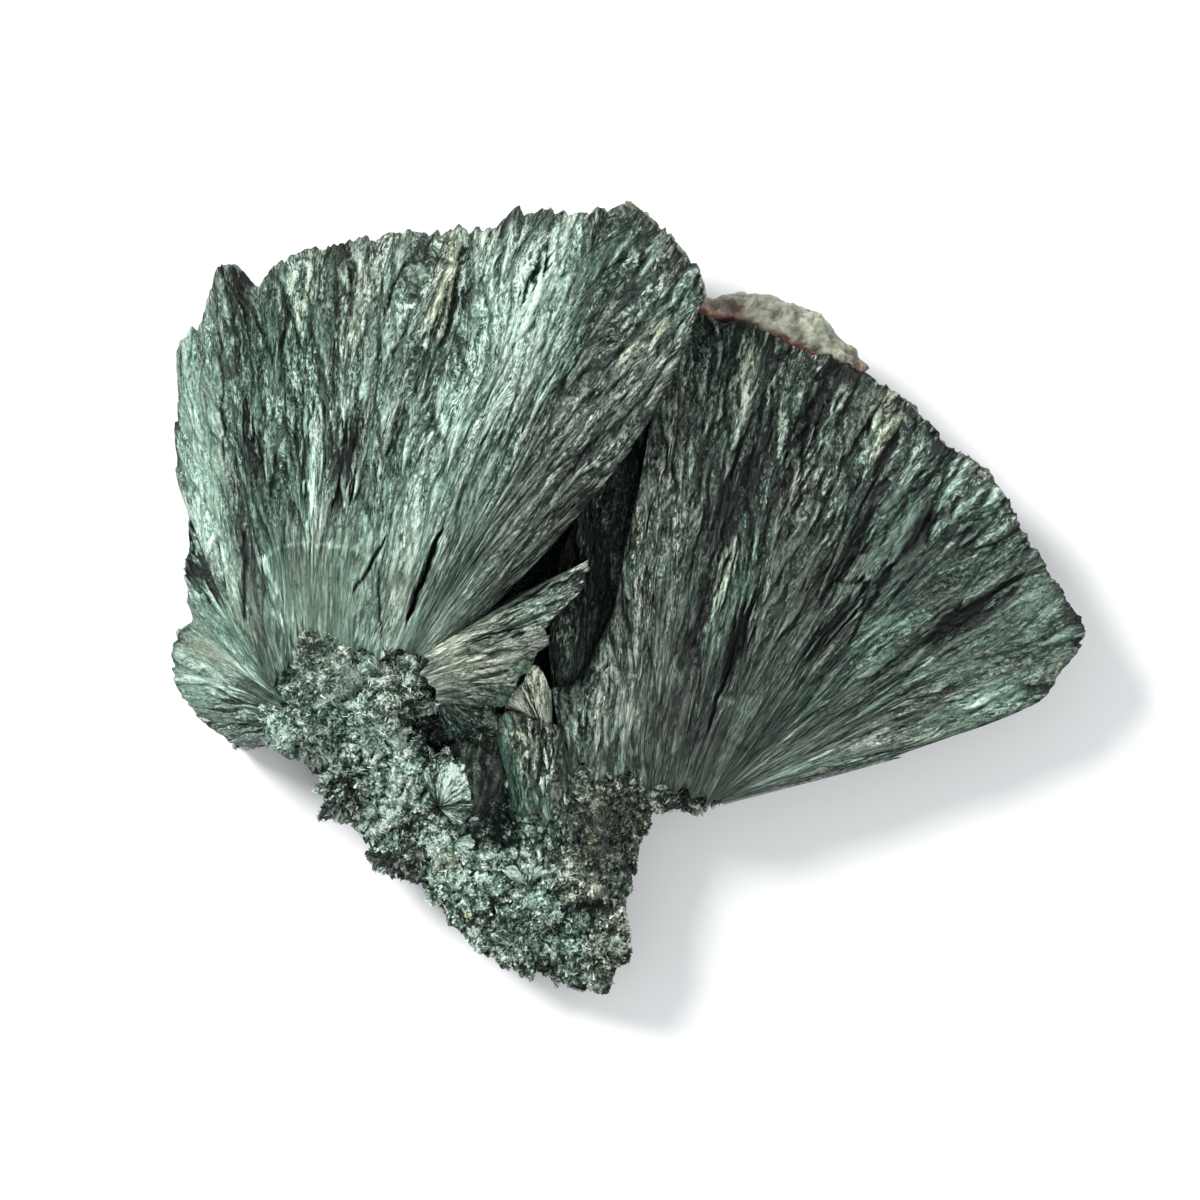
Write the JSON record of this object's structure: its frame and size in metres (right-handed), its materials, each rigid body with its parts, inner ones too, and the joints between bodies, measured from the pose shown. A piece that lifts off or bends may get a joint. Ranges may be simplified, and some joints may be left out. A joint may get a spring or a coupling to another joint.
{
  "type": "seraphinite mineral specimen",
  "caption": "Natural seraphinite hand specimen: feathery fibre fans spreading from a granular root mass, with a pale calcite rind on part of the rim; lies flat on its back.",
  "frame": {"origin": "centre of the bounding box in X and Y, on the resting face", "axes": "+X along the longest side towards the tip of the long fan, +Y towards the rim of the tall fan, +Z out of the face that shows"},
  "size_m": [0.112, 0.0954, 0.0288],
  "materials": {
    "seraphinite": "silky fibrous break with a pearly sheen, dark green-grey with pale mint feathers",
    "calcite": "dull crystalline white rind with a brownish pink contact line"
  },
  "bodies": {
    "root": {"seraphinite": "seraphinite", "calcite": "calcite"}
  },
  "joints": []
}
